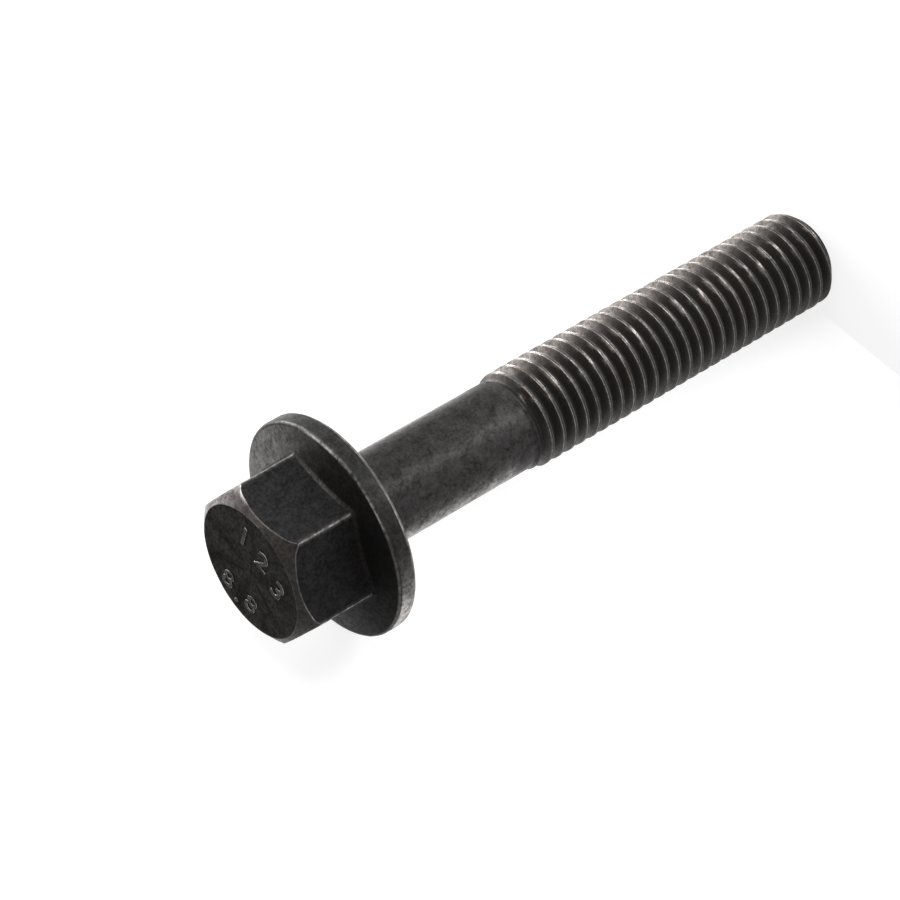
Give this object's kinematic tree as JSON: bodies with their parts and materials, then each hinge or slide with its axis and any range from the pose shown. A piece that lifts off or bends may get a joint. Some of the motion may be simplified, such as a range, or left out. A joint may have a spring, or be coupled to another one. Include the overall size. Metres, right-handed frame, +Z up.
{
  "type": "cylinder head bolt",
  "caption": "Hexagon flange bolt that clamps a cylinder head: wide flanged head, plain shank, rolled coarse thread to a chamfered tip.",
  "frame": {"origin": "the middle of the tip's flat, on which the bolt stands", "axes": "+Z up, along the bolt's axis from the tip to the head; +Y through one corner of the hexagon; +X square to two of its flats"},
  "size_m": [0.0258, 0.0258, 0.0823],
  "materials": {
    "black_steel": "black phosphate and oil on forged and rolled steel, satin, worn bright on edges and thread crests"
  },
  "bodies": {
    "root": {"cylinder_head_bolt": "black_steel"}
  },
  "joints": []
}
